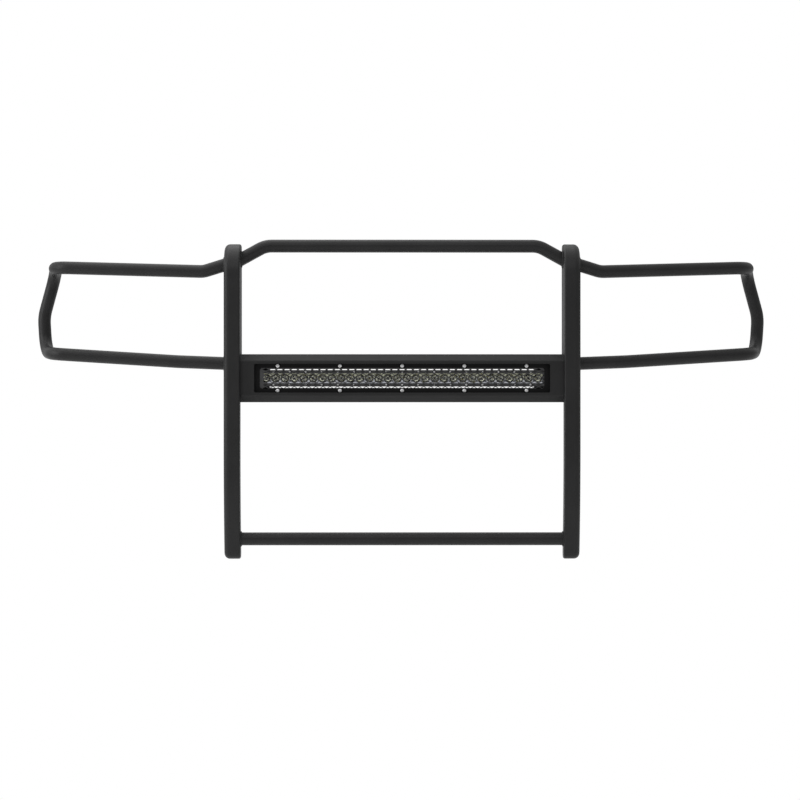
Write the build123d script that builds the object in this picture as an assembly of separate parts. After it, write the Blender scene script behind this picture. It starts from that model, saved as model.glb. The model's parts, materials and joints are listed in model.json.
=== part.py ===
"""Front grille guard for a full-size truck, with a screened light bar in its crossbar.

Millimetres. +X is the guard's right seen from the front, +Y runs back towards the truck, +Z is up.
Sizes along Y are measured from the front faces of the uprights while the pieces are modelled.
Each piece is then moved so that the origin is at the middle of the guard's footprint.
"""

import os
from math import atan2, cos, pi, radians, sin, sqrt, tan

from build123d import *

# Fasteners
M12_RADIUS = 6.0
M8_RADIUS = 4.0
M6_RADIUS = 3.0
M3_RADIUS = 1.5
M12_FLATS = 18.0
M6_FLATS = 10.0
M8_SOCKET = 5.0
M6_SOCKET = 4.0
M3_SOCKET = 2.0
THREAD_GAP = 0.05
M6_CLEARANCE = 0.3
M8_CLEARANCE = 0.5
CUT = 1.0

SIDES = (1, -1)

# Frame
OVERALL_DEPTH = 285.0
TUBE_RADIUS = 17.4
TUBE_WALL = 2.0
BEND_RADIUS = 64.0

# Uprights: shallow boxes below the crossbar, deep boxes above it
UPRIGHT_X = 455.4
UPRIGHT_WIDTH = 43.7
UPRIGHT_HEIGHT = 847.4
UPRIGHT_WALL = 3.0
DEEP = 110.0
SHALLOW = 46.0
CROWN_RADIUS = 80.0
LEAN_RADIUS = 1200.0
LEAN_START = 300.0
SHOULDER_TOP = 475.0
SHOULDER_BOTTOM = 428.0
TOE_RADIUS = 22.0
HEEL_RADIUS = 18.0
OUTER_EDGE_RADIUS = 15.0
INNER_EDGE_RADIUS = 5.0

INNER_FACE = UPRIGHT_X - UPRIGHT_WIDTH / 2
OUTER_FACE = UPRIGHT_X + UPRIGHT_WIDTH / 2

# Cross tubes
TUBE_Y = 62.0
TOP_BAR_Z = 841.4
TOP_BAR_BEND_X = 368.0
TOP_BAR_SLOPE = 0.55
TOP_BAR_OVERRUN = 12.0
BOTTOM_BAR_Y = 48.0
BOTTOM_BAR_Z = 54.0

# Wings: a loop from the upright, out and back round the headlamp
WING_OVERRUN = 8.0
WING_SWEEP_Y = 155.0
WING_LEG_Y = 264.0
WING_BEND_RADIUS = 54.0

# Crossbar housing
PANEL_Z = 485.4
PANEL_FRONT = 15.0
PANEL_REAR = 118.0
PANEL_HEIGHT = 129.0
PANEL_CHAMFER = 18.0
PANEL_BEND_RADIUS = 5.0
SHEET = 3.0
END_PLATE = 5.0
PANEL_LIP = 8.0
BACK_PLATE_REAR = PANEL_REAR - SHEET
BACK_PLATE_FRONT = BACK_PLATE_REAR - SHEET
BACK_PLATE_INSET = 2.5
BACK_OPENING_LENGTH = 718.0
BACK_OPENING_HEIGHT = 51.0
PANEL_TOP = PANEL_Z + PANEL_HEIGHT / 2
PANEL_BOTTOM = PANEL_Z - PANEL_HEIGHT / 2
HOUSING_HALF_LENGTH = INNER_FACE - END_PLATE
OPENING_LENGTH = 792.0
OPENING_HEIGHT = 77.0
OPENING_RADIUS = 4.0

# Bolts that hold the crossbar's end plates to the uprights, as (y, z)
END_BOLT_OFFSET = 38.0
END_BOLTS = (
    (30.0, PANEL_Z - END_BOLT_OFFSET),
    (30.0, PANEL_Z + END_BOLT_OFFSET),
    (88.0, PANEL_Z + END_BOLT_OFFSET),
)
END_BOLT_HEAD_RADIUS = 7.0
END_BOLT_HEAD = 4.4
END_BOLT_REACH = 12.0
WELD_NUT_FLATS = 13.0
WELD_NUT_HEIGHT = 6.5

# Recessed screen in the crossbar
SCREEN_PLATE_FRONT = 39.0
WINDOW_LENGTH = 764.0
WINDOW_HEIGHT = 55.5
WINDOW_RADIUS = 7.0
MESH_THICKNESS = 1.5
MESH_LENGTH = 800.0
MESH_HEIGHT = 84.0
MESH_PITCH_X = 19.3
MESH_PITCH_Z = 10.1
MESH_STRAND = 2.0
MESH_SHIFT = -2.15
MESH_ROWS = 5
SCREEN_BOLT_PITCH = 167.0
SCREEN_BOLT_OFFSET = 33.5
SCREEN_BOLT_COUNT = 5
SCREEN_BOLT_REACH = 13.0
SCREEN_BOLT_HEAD = 3.3
SCREEN_BOLT_HEAD_RADIUS = 5.25
SCREEN_NUT_FLANGE = 1.2
SCREEN_NUT_FLANGE_RADIUS = 6.2
SCREEN_NUT_HEIGHT = 6.0

# Light bar
BAR_FRONT = 52.0
BAR_HALF_LENGTH = 382.0
BAR_HEIGHT = 44.4
BAR_DEPTH = 52.0
LED_COUNT = 30
LED_PITCH = 25.2
REFLECTOR_HEIGHT = 26.0
BEZEL_THICKNESS = 3.0
LENS_THICKNESS = 3.0
CAP_GASKET = 1.0
CAP_THICKNESS = 8.0
PIVOT_DEPTH = 26.0
PIVOT_RADIUS = 4.0
RUNNING_CLEARANCE = 0.08
BAR_BRACKET_THICKNESS = 4.0
CAP_TO_BRACKET = 0.6
FIN_COUNT = 7
FIN_THICKNESS = 2.2
FIN_DEPTH = 22.0
BEZEL_SCREW_PITCH = 43.2
BEZEL_SCREW_OFFSET = 17.4
BEZEL_SCREW_HEAD = 1.5
BEZEL_SCREW_REACH = 10.0
SHOULDER_DEPTH = 22.0
CAP_SLOPE_END = 30.0
BACK_HALF_HEIGHT = 19.0
LENS_POCKET = 15.0
LENS_GAP = 0.2
LENS_POCKET_END = BEZEL_THICKNESS + LENS_THICKNESS + 1.2
BOARD_DEPTH = 18.0
BOARD_THICKNESS = 1.6
CAVITY_END = BOARD_DEPTH + BOARD_THICKNESS
BACK_START = BAR_DEPTH - FIN_DEPTH
LAMP_ROW_HALF_LENGTH = LED_COUNT * LED_PITCH / 2
CUP_THROAT = 4.0
CUP_RIM = 0.4
CUP_BULGE = 1.1
EMITTER_SIZE = 4.6
EMITTER_HEIGHT = 1.4
GLAND_X = 300.0
VENT_X = -300.0
GLAND_SPACE = 14.0
GLAND_THREAD = M6_RADIUS + 0.4
GLAND_SPIGOT = 4.0
GLAND_FLATS = 17.0
GLAND_NECK_RADIUS = 7.1
GLAND_NUT_START = 9.0
GLAND_NUT_END = 18.0
GLAND_BASE = 6.0
GLAND_LENGTH = 20.0
LEAD_RADIUS = 2.4
VENT_RADIUS = 6.5
VENT_HEIGHT = 5.0
GASKET_INSET = 0.6
CAP_CORNER_RADIUS = 2.0
CAP_SCREW_PLACES = ((13.5, 18.0), (25.0, 14.0))
CAP_SCREW_RADIUS = 1.75
CAP_SCREW_REACH = 10.0
CAP_SCREW_SINK = 3.0
CAP_SCREW_HEAD = 2.4
CAP_SCREW_HEAD_RADIUS = 3.2
CAP_SCREW_SOCKET = 2.5
BEZEL_SCREW_HEAD_RADIUS = 2.6
PIVOT_SINK = 6.0
WASHER_GAP = 0.1
PIVOT_HEAD_RADIUS = 7.0
PIVOT_HEAD = 4.6
PIVOT_WASHER_RADIUS = 8.0
PIVOT_WASHER = 1.8

CAP_OUTER_FACE = BAR_HALF_LENGTH + CAP_GASKET + CAP_THICKNESS
PIVOT_Y = BAR_FRONT + PIVOT_DEPTH

# Angle brackets that carry the light bar inside the crossbar
BAR_BRACKET_X = CAP_OUTER_FACE + CAP_TO_BRACKET
BAR_BRACKET_OUTER = BAR_BRACKET_X + BAR_BRACKET_THICKNESS
BAR_BRACKET_RISE = 22.0
BAR_BRACKET_FRONT = PIVOT_Y - 16.0
BAR_BRACKET_REAR = BACK_PLATE_FRONT - BACK_PLATE_INSET
BAR_BRACKET_FOOT = 28.0
BAR_BRACKET_BOLT_X = BAR_BRACKET_X + 20.0
BAR_BRACKET_BOLT_Y = (72.0, 100.0)
BAR_BRACKET_BOLT_HEAD = 4.0

# Truck brackets
BRACKET_THICKNESS = 8.0
TAB_X = 451.6
BRACKET_X = TAB_X + BRACKET_THICKNESS
BRACKET_BOLT_Y = 92.0
BRACKET_BOLT_Z = (150.0, 200.0)
FRAME_HOLE_CENTRE = (230.0, 190.0)
FRAME_HOLE_SPACING = (70.0, 60.0)
FRAME_HOLE_RADIUS = 6.75

BRACKET_CORNER_RADIUS = 8.0
TAB_FRONT = 40.0
TAB_REAR = 112.0
TAB_REACH = 25.0
NECK_FRONT = 72.0
NECK_REAR = 125.0
NECK_REACH = 22.0
PAD_FRONT = 175.0
PAD_HALF_HEIGHT = 52.0
THREAD_STAND_OUT = 1.5
WASHER_THICKNESS = 1.5
WASHER_RADIUS = 12.0
M12_HEAD = 7.0
M12_NUT = 10.0
BOLT_TURN = 30.0
BRACKET_STACK = (TAB_X - WASHER_THICKNESS, BRACKET_X + BRACKET_THICKNESS + WASHER_THICKNESS)


def export(name, shape):
    """Write one piece, moved from front-face depths to the guard's own origin."""
    placed = Pos(0, -OVERALL_DEPTH / 2, 0) * shape
    export_step(placed, f"parts/{name}.step")


def export_pair(name, right_shape):
    """Write the right-hand piece and its mirror image."""
    export(f"right_{name}", right_shape)
    export(f"left_{name}", mirror(right_shape, about=Plane.YZ))


def group(solids):
    return Compound(children=list(solids))


def block(x_range, y_range, z_range):
    """Box between two corners."""
    size = [high - low for low, high in (x_range, y_range, z_range)]
    centre = [(high + low) / 2 for low, high in (x_range, y_range, z_range)]
    return Pos(*centre) * Box(*size)


def rod_x(radius, x_from, x_to, y, z):
    """Round bar along X."""
    length = abs(x_to - x_from)
    return Pos((x_from + x_to) / 2, y, z) * Rot(0, 90, 0) * Cylinder(radius, length)


def rod_y(radius, y_from, y_to, x, z):
    """Round bar along Y."""
    length = abs(y_to - y_from)
    return Pos(x, (y_from + y_to) / 2, z) * Rot(90, 0, 0) * Cylinder(radius, length)


def hexagon_x(across_flats, x_from, x_to, y, z):
    """Hexagonal prism along X."""
    corner_radius = across_flats / 2 / cos(pi / 6)
    plane = Plane(origin=(x_from, y, z), z_dir=(1, 0, 0))
    return extrude(plane * RegularPolygon(corner_radius, 6), amount=x_to - x_from)


def hexagon_y(across_flats, y_from, y_to, x, z):
    """Hexagonal prism along Y."""
    corner_radius = across_flats / 2 / cos(pi / 6)
    plane = Plane(origin=(x, y_from, z), x_dir=(1, 0, 0), z_dir=(0, 1, 0))
    return extrude(plane * RegularPolygon(corner_radius, 6), amount=y_to - y_from)


def front_rectangle(length, height, radius, y):
    """Rounded rectangle facing the front, centred on the crossbar."""
    plane = Plane(origin=(0, y, PANEL_Z), x_dir=(1, 0, 0), z_dir=(0, 1, 0))
    return plane * RectangleRounded(length, height, radius)


def both_ways(face, half_length):
    return extrude(face, amount=half_length, both=True)


def tube(points, radii):
    """Round tube with bends of the given radii at the inner points."""
    path = FilletPolyline(*points, radius=radii)
    start = Plane(origin=path @ 0, z_dir=path % 0)
    outer = sweep(start * Circle(TUBE_RADIUS), path=path)
    bore = sweep(start * Circle(TUBE_RADIUS - TUBE_WALL), path=path)
    return outer - bore


# ---------------------------------------------------------------- uprights


def lean(height, radius):
    """How far the lower end of an upright has curved back at a height."""
    return LEAN_RADIUS - sqrt(radius**2 - (LEAN_START - height) ** 2)


def round_corner(outline, corner, radius):
    """Round the corner of a flat outline that lies nearest to a point."""
    nearest = outline.vertices().sort_by_distance((*corner, 0))[0]
    return fillet(nearest, radius)


def upright_outline(inset=0.0):
    """Side view of an upright, or of its inside: foot curved back, top rolled over."""
    front_radius = LEAN_RADIUS - inset
    rear_radius = LEAN_RADIUS - SHALLOW + inset
    half_way = LEAN_START / 2
    crown_radius = CROWN_RADIUS - inset
    crown_start_z = UPRIGHT_HEIGHT - CROWN_RADIUS
    crown_middle = CROWN_RADIUS - crown_radius * cos(radians(45))
    top = UPRIGHT_HEIGHT - inset
    slope = atan2(SHOULDER_TOP - SHOULDER_BOTTOM, DEEP - SHALLOW)
    lift = inset * (1 / cos(slope) - tan(slope))
    toe = (lean(inset, front_radius), inset)
    heel = (lean(inset, rear_radius), inset)
    top_rear = (DEEP - inset, top)
    shoulder_top = (DEEP - inset, SHOULDER_TOP + lift)
    shoulder_bottom = (SHALLOW - inset, SHOULDER_BOTTOM + lift)
    lean_rear = (SHALLOW - inset, LEAN_START)
    edges = [
        ThreePointArc(toe, (lean(half_way, front_radius), half_way), (inset, LEAN_START)),
        Line((inset, LEAN_START), (inset, crown_start_z)),
        ThreePointArc(
            (inset, crown_start_z),
            (crown_middle, crown_start_z + crown_radius * sin(radians(45))),
            (CROWN_RADIUS, top),
        ),
        Line((CROWN_RADIUS, top), top_rear),
        Line(top_rear, shoulder_top),
        Line(shoulder_top, shoulder_bottom),
        Line(shoulder_bottom, lean_rear),
        ThreePointArc(lean_rear, (lean(half_way, rear_radius), half_way), heel),
        Line(heel, toe),
    ]
    outline = make_face(edges)
    outline = round_corner(outline, toe, TOE_RADIUS - inset)
    outline = round_corner(outline, heel, HEEL_RADIUS - inset)
    outline = round_corner(outline, top_rear, HEEL_RADIUS - inset)
    outline = round_corner(outline, shoulder_top, HEEL_RADIUS - inset)
    return round_corner(outline, shoulder_bottom, HEEL_RADIUS + inset)


def upright_body(outline, half_width, outer_radius, inner_radius):
    """Extrude the side view and round the edges of its two sides."""
    body = both_ways(Plane.YZ * outline, half_width)
    outer_edges = body.faces().sort_by(Axis.X)[-1].edges()
    body = fillet(outer_edges, outer_radius)
    inner_edges = body.faces().sort_by(Axis.X)[0].edges()
    return fillet(inner_edges, inner_radius)


def right_upright():
    half_width = UPRIGHT_WIDTH / 2
    shell = upright_body(upright_outline(), half_width, OUTER_EDGE_RADIUS, INNER_EDGE_RADIUS)
    inside = upright_body(
        upright_outline(UPRIGHT_WALL),
        half_width - UPRIGHT_WALL,
        OUTER_EDGE_RADIUS - UPRIGHT_WALL,
        INNER_EDGE_RADIUS - UPRIGHT_WALL,
    )
    box = Pos(UPRIGHT_X, 0, 0) * (shell - inside)
    for y, z in END_BOLTS:
        hole_end = INNER_FACE + UPRIGHT_WALL + CUT
        box -= rod_x(M8_RADIUS + THREAD_GAP, INNER_FACE - CUT, hole_end, y, z)
    return box


def socket_bolt_x(side, seat, reach, head_radius, head, shank_radius, socket_flats, y, z):
    """Button-head socket bolt along X, its head inboard of the seat."""
    top = side * (seat - head)
    bolt = rod_x(head_radius, top, side * seat, y, z)
    bolt += rod_x(shank_radius, side * seat, side * reach, y, z)
    return bolt - hexagon_x(socket_flats, top, side * (seat - head / 2), y, z)


def end_plate_bolts():
    """Button-head bolts from inside the crossbar into the uprights."""
    bolts = []
    for side in SIDES:
        for y, z in END_BOLTS:
            bolt = socket_bolt_x(
                side,
                HOUSING_HALF_LENGTH,
                INNER_FACE + END_BOLT_REACH,
                END_BOLT_HEAD_RADIUS,
                END_BOLT_HEAD,
                M8_RADIUS,
                M8_SOCKET,
                y,
                z,
            )
            bolts.append(bolt)
    return group(bolts)


def upright_weld_nuts():
    """Weld nuts inside the uprights for the end-plate bolts."""
    start = INNER_FACE + UPRIGHT_WALL
    nuts = []
    for side in SIDES:
        ends = (side * start, side * (start + WELD_NUT_HEIGHT))
        for y, z in END_BOLTS:
            nut = hexagon_x(WELD_NUT_FLATS, *ends, y, z)
            nuts.append(nut - rod_x(M8_RADIUS + THREAD_GAP, *ends, y, z))
    return group(nuts)


# ------------------------------------------------------------- cross tubes


def top_bar():
    """Bar across the top whose ends drop to the inner faces of the uprights."""
    end_x = INNER_FACE + TOP_BAR_OVERRUN
    end_z = TOP_BAR_Z - (end_x - TOP_BAR_BEND_X) * TOP_BAR_SLOPE
    points = (
        (-end_x, TUBE_Y, end_z),
        (-TOP_BAR_BEND_X, TUBE_Y, TOP_BAR_Z),
        (TOP_BAR_BEND_X, TUBE_Y, TOP_BAR_Z),
        (end_x, TUBE_Y, end_z),
    )
    bar = tube(points, [BEND_RADIUS, BEND_RADIUS])
    drop = end_z - 2 * TUBE_RADIUS
    rise = TOP_BAR_Z + 2 * TUBE_RADIUS
    between_uprights = block((-INNER_FACE, INNER_FACE), (0, DEEP), (drop, rise))
    return bar & between_uprights


def bottom_bar():
    outer = rod_x(TUBE_RADIUS, -INNER_FACE, INNER_FACE, BOTTOM_BAR_Y, BOTTOM_BAR_Z)
    bore = rod_x(TUBE_RADIUS - TUBE_WALL, -INNER_FACE, INNER_FACE, BOTTOM_BAR_Y, BOTTOM_BAR_Z)
    return outer - bore


def right_wing_tube():
    """One tube: out from the upright, back round the headlamp, down and in again."""
    start_x = OUTER_FACE - WING_OVERRUN
    points = (
        (start_x, TUBE_Y - 2, 793.0),
        (535.0, TUBE_Y + 10, 773.3),
        (948.0, WING_SWEEP_Y, 788.5),
        (956.0, WING_LEG_Y, 785.0),
        (990.6, WING_LEG_Y, 657.0),
        (985.0, WING_LEG_Y, 561.0),
        (952.0, WING_SWEEP_Y, 553.0),
        (606.0, TUBE_Y + 24, 530.7),
        (start_x, TUBE_Y - 2, 525.0),
    )
    corner = WING_BEND_RADIUS
    radii = [BEND_RADIUS, corner, corner, 2 * BEND_RADIUS, corner, corner, 10 * BEND_RADIUS]
    loop = tube(points, radii)
    beyond_upright = block((OUTER_FACE, 3 * OUTER_FACE), (0, OVERALL_DEPTH), (0, UPRIGHT_HEIGHT))
    return loop & beyond_upright


# ------------------------------------------------------- crossbar housing


def panel_outline():
    """Side view of the crossbar: a box with its two front corners cut off."""
    half = PANEL_HEIGHT / 2
    flat = half - PANEL_CHAMFER
    corner = PANEL_FRONT + PANEL_CHAMFER
    points = (
        (PANEL_REAR, PANEL_Z + half),
        (corner, PANEL_Z + half),
        (PANEL_FRONT, PANEL_Z + flat),
        (PANEL_FRONT, PANEL_Z - flat),
        (corner, PANEL_Z - half),
        (PANEL_REAR, PANEL_Z - half),
    )
    outline = make_face(Polyline(*points, close=True))
    return fillet(outline.vertices(), PANEL_BEND_RADIUS)


def crossbar_housing():
    """Folded sheet with a long opening in its front, open at the back between two lips."""
    outline = panel_outline()
    housing = both_ways(Plane.YZ * outline, HOUSING_HALF_LENGTH)
    housing -= both_ways(Plane.YZ * offset(outline, amount=-SHEET), HOUSING_HALF_LENGTH)
    front = front_rectangle(OPENING_LENGTH, OPENING_HEIGHT, OPENING_RADIUS, PANEL_FRONT - CUT)
    housing -= extrude(front, amount=SHEET + 2 * CUT)
    housing -= block(
        (-HOUSING_HALF_LENGTH, HOUSING_HALF_LENGTH),
        (BACK_PLATE_FRONT, PANEL_REAR + CUT),
        (PANEL_BOTTOM + PANEL_LIP, PANEL_TOP - PANEL_LIP),
    )
    for x, y in bar_bracket_bolt_places():
        housing -= Pos(x, y, PANEL_BOTTOM) * Cylinder(M6_RADIUS + THREAD_GAP, 3 * SHEET)
    return housing


def crossbar_back_plate():
    """Plate welded inside the housing's lips, with a long opening behind the light bar."""
    plate = block(
        (-HOUSING_HALF_LENGTH, HOUSING_HALF_LENGTH),
        (BACK_PLATE_FRONT, BACK_PLATE_REAR),
        (PANEL_BOTTOM + SHEET + BACK_PLATE_INSET, PANEL_TOP - SHEET - BACK_PLATE_INSET),
    )
    size = (BACK_OPENING_LENGTH, BACK_OPENING_HEIGHT)
    opening = front_rectangle(*size, OPENING_RADIUS, BACK_PLATE_FRONT - CUT)
    return plate - extrude(opening, amount=SHEET + 2 * CUT)


def right_end_plate():
    plate = extrude(Plane.YZ * panel_outline(), amount=END_PLATE)
    plate = Pos(HOUSING_HALF_LENGTH, 0, 0) * plate
    for y, z in END_BOLTS:
        plate -= rod_x(M8_RADIUS + M8_CLEARANCE, HOUSING_HALF_LENGTH - CUT, INNER_FACE + CUT, y, z)
    return plate


def screen_bolt_places():
    """Centres of the screen's bolts, as (x, z)."""
    middle = (SCREEN_BOLT_COUNT - 1) / 2
    for index in range(SCREEN_BOLT_COUNT):
        for side in SIDES:
            x = (index - middle) * SCREEN_BOLT_PITCH
            yield x, PANEL_Z + side * SCREEN_BOLT_OFFSET


def screen_plate():
    """Recessed plate with the long window, welded across the inside of the housing."""
    rear = SCREEN_PLATE_FRONT + SHEET
    plate = block(
        (-HOUSING_HALF_LENGTH, HOUSING_HALF_LENGTH),
        (SCREEN_PLATE_FRONT, rear),
        (PANEL_BOTTOM + SHEET, PANEL_TOP - SHEET),
    )
    window = front_rectangle(WINDOW_LENGTH, WINDOW_HEIGHT, WINDOW_RADIUS, SCREEN_PLATE_FRONT - CUT)
    plate -= extrude(window, amount=SHEET + 2 * CUT)
    for x, z in screen_bolt_places():
        plate -= rod_y(M6_RADIUS + M6_CLEARANCE, SCREEN_PLATE_FRONT - CUT, rear + CUT, x, z)
    return plate


def diamond_places():
    """Centres of the mesh's diamonds, as (x, z) from the middle of the crossbar."""
    columns = int(MESH_LENGTH / 2 / MESH_PITCH_X) - 1
    for row in range(-MESH_ROWS, MESH_ROWS + 1):
        row_shift = MESH_PITCH_X / 2 if row % 2 == 0 else 0.0
        for column in range(-columns, columns + 1):
            yield column * MESH_PITCH_X + row_shift, row * MESH_PITCH_Z / 2 + MESH_SHIFT


def expanded_mesh():
    """Flattened expanded-metal sheet: rows of diamonds, every other row half a pitch over."""
    front = SCREEN_PLATE_FRONT + SHEET
    plane = Plane(origin=(0, front, PANEL_Z), x_dir=(1, 0, 0), z_dir=(0, 1, 0))
    half_long = MESH_PITCH_X / 2 - MESH_STRAND
    half_short = MESH_PITCH_Z / 2 - MESH_STRAND / 2
    diamond_corners = ((-half_long, 0), (0, half_short), (half_long, 0), (0, -half_short))
    diamond = Polygon(*diamond_corners, align=None)
    outer_wire = Rectangle(MESH_LENGTH, MESH_HEIGHT).faces()[0].outer_wire()
    # The plane's own second axis points down, so the rows are counted downwards.
    holes = [(Pos(x, -z) * diamond).faces()[0].outer_wire() for x, z in diamond_places()]
    sheet = extrude(plane * Face(outer_wire, holes), amount=MESH_THICKNESS)
    rear = front + MESH_THICKNESS
    bolt_hole = M6_RADIUS + M6_CLEARANCE
    return sheet - [rod_y(bolt_hole, front - CUT, rear + CUT, x, z) for x, z in screen_bolt_places()]


def screen_bolts():
    """Button-head socket bolts through the screen plate and the mesh."""
    top = SCREEN_PLATE_FRONT - SCREEN_BOLT_HEAD
    bolts = []
    for x, z in screen_bolt_places():
        bolt = rod_y(SCREEN_BOLT_HEAD_RADIUS, top, SCREEN_PLATE_FRONT, x, z)
        bolt = fillet(bolt.edges().sort_by(Axis.Y)[0], 0.6 * SCREEN_BOLT_HEAD)
        bolt += rod_y(M6_RADIUS, SCREEN_PLATE_FRONT, SCREEN_PLATE_FRONT + SCREEN_BOLT_REACH, x, z)
        bolt -= hexagon_y(M6_SOCKET, top, top + 0.6 * SCREEN_BOLT_HEAD, x, z)
        bolts.append(bolt)
    return group(bolts)


def screen_nuts():
    """Flange nuts behind the mesh."""
    start = SCREEN_PLATE_FRONT + SHEET + MESH_THICKNESS
    end = start + SCREEN_NUT_HEIGHT
    nuts = []
    for x, z in screen_bolt_places():
        nut = rod_y(SCREEN_NUT_FLANGE_RADIUS, start, start + SCREEN_NUT_FLANGE, x, z)
        nut += hexagon_y(M6_FLATS, start + SCREEN_NUT_FLANGE, end, x, z)
        nuts.append(nut - rod_y(M6_RADIUS + THREAD_GAP, start, end, x, z))
    return group(nuts)


# --------------------------------------------------- light bar's brackets


def bar_bracket_bolt_places():
    """Centres of the bolts in the feet of the light bar's brackets, as (x, y)."""
    for side in SIDES:
        for y in BAR_BRACKET_BOLT_Y:
            yield side * BAR_BRACKET_BOLT_X, y


def right_light_bar_bracket():
    """Angle bracket: a foot on the housing's floor and a side plate with the pivot hole."""
    thick = BAR_BRACKET_THICKNESS
    floor = PANEL_BOTTOM + SHEET
    depth = (BAR_BRACKET_FRONT, BAR_BRACKET_REAR)
    top = PANEL_Z + BAR_BRACKET_RISE
    bracket = block((BAR_BRACKET_X, BAR_BRACKET_OUTER), depth, (floor, top))
    bracket += block((BAR_BRACKET_X, BAR_BRACKET_OUTER + BAR_BRACKET_FOOT), depth, (floor, floor + thick))
    hole_radius = PIVOT_RADIUS + RUNNING_CLEARANCE
    bracket -= rod_x(hole_radius, BAR_BRACKET_X - CUT, BAR_BRACKET_OUTER + CUT, PIVOT_Y, PANEL_Z)
    for x, y in bar_bracket_bolt_places():
        bracket -= Pos(x, y, floor) * Cylinder(M6_RADIUS + M6_CLEARANCE, 4 * thick)
    return bracket


def light_bar_bracket_bolts():
    """Hexagon bolts down through the bracket feet into the housing's floor."""
    seat = PANEL_BOTTOM + SHEET + BAR_BRACKET_THICKNESS
    corner_radius = M6_FLATS / 2 / cos(pi / 6)
    hexagon = RegularPolygon(corner_radius, 6)
    bolts = []
    for x, y in bar_bracket_bolt_places():
        head = extrude(Plane.XY.offset(seat) * hexagon, amount=BAR_BRACKET_BOLT_HEAD)
        shank = Pos(0, 0, (PANEL_BOTTOM + seat) / 2) * Cylinder(M6_RADIUS, seat - PANEL_BOTTOM)
        bolts.append(Pos(x, y, 0) * (head + shank))
    return group(bolts)


# ---------------------------------------------------------------- light bar


def bar_depth(depth):
    """Distance behind the light bar's front face as a depth of the guard."""
    return BAR_FRONT + depth


def bar_rectangle(half_height, from_depth, to_depth, half_length):
    return block(
        (-half_length, half_length),
        (bar_depth(from_depth), bar_depth(to_depth)),
        (PANEL_Z - half_height, PANEL_Z + half_height),
    )


def light_bar_housing():
    """Finned extrusion with the stepped front pocket for lens, reflectors and board."""
    cavity_half = REFLECTOR_HEIGHT / 2 + LENS_GAP
    body = bar_rectangle(BAR_HEIGHT / 2, BEZEL_THICKNESS, SHOULDER_DEPTH, BAR_HALF_LENGTH)
    body += bar_rectangle(BACK_HALF_HEIGHT, SHOULDER_DEPTH, BACK_START, BAR_HALF_LENGTH)
    fin_gap = (2 * BACK_HALF_HEIGHT - FIN_THICKNESS) / (FIN_COUNT - 1)
    for index in range(FIN_COUNT):
        z = PANEL_Z - BACK_HALF_HEIGHT + FIN_THICKNESS / 2 + index * fin_gap
        body += block(
            (-BAR_HALF_LENGTH, BAR_HALF_LENGTH),
            (bar_depth(BACK_START), bar_depth(BAR_DEPTH)),
            (z - FIN_THICKNESS / 2, z + FIN_THICKNESS / 2),
        )
    body -= bar_rectangle(LENS_POCKET, BEZEL_THICKNESS, LENS_POCKET_END, BAR_HALF_LENGTH)
    body -= bar_rectangle(cavity_half, LENS_POCKET_END, CAVITY_END, BAR_HALF_LENGTH)
    for x in (GLAND_X, VENT_X):
        body -= block(
            (x - GLAND_SPACE, x + GLAND_SPACE),
            (bar_depth(BACK_START), bar_depth(BAR_DEPTH)),
            (PANEL_Z - BACK_HALF_HEIGHT, PANEL_Z + BACK_HALF_HEIGHT),
        )
        bore = (bar_depth(CAVITY_END), bar_depth(BACK_START))
        body -= rod_y(GLAND_THREAD + THREAD_GAP, *bore, x, PANEL_Z)
    for x, z in bezel_screw_places():
        thread = (bar_depth(BEZEL_THICKNESS), bar_depth(BEZEL_SCREW_REACH + CUT))
        body -= rod_y(M3_RADIUS + THREAD_GAP, *thread, x, z)
    for side in SIDES:
        thread_end = side * (BAR_HALF_LENGTH - CAP_SCREW_REACH - CUT)
        for y, z in cap_screw_places():
            body -= rod_x(CAP_SCREW_RADIUS + THREAD_GAP, thread_end, side * BAR_HALF_LENGTH, y, z)
    return body


def bezel_screw_places():
    """Centres of the bezel's screws, as (x, z)."""
    columns = int(BAR_HALF_LENGTH / BEZEL_SCREW_PITCH)
    for column in range(-columns, columns + 1):
        for side in SIDES:
            yield column * BEZEL_SCREW_PITCH, PANEL_Z + side * BEZEL_SCREW_OFFSET


def cap_screw_places():
    """Centres of an end cap's screws, as (y, z)."""
    for side in SIDES:
        for depth, rise in CAP_SCREW_PLACES:
            yield bar_depth(depth), PANEL_Z + side * rise


def bezel():
    """Frame that clamps the lens."""
    half_window = REFLECTOR_HEIGHT / 2 + LENS_GAP
    through = (-CUT, BEZEL_THICKNESS + CUT)
    frame = bar_rectangle(BAR_HEIGHT / 2, 0, BEZEL_THICKNESS, BAR_HALF_LENGTH)
    frame -= bar_rectangle(half_window, *through, LAMP_ROW_HALF_LENGTH + LENS_GAP)
    for x, z in bezel_screw_places():
        frame -= rod_y(M3_RADIUS + LENS_GAP, bar_depth(through[0]), bar_depth(through[1]), x, z)
    return frame


def bezel_screws():
    screws = []
    for x, z in bezel_screw_places():
        top = bar_depth(-BEZEL_SCREW_HEAD)
        screw = rod_y(BEZEL_SCREW_HEAD_RADIUS, top, bar_depth(0), x, z)
        screw = fillet(screw.edges().sort_by(Axis.Y)[0], BEZEL_SCREW_HEAD / 2)
        screw += rod_y(M3_RADIUS, bar_depth(0), bar_depth(BEZEL_SCREW_REACH), x, z)
        screw -= hexagon_y(M3_SOCKET, top, top + 0.6 * BEZEL_SCREW_HEAD, x, z)
        screws.append(screw)
    return group(screws)


def lens():
    rear = BEZEL_THICKNESS + LENS_THICKNESS
    return bar_rectangle(LENS_POCKET - LENS_GAP, BEZEL_THICKNESS, rear, BAR_HALF_LENGTH - 1)


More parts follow.
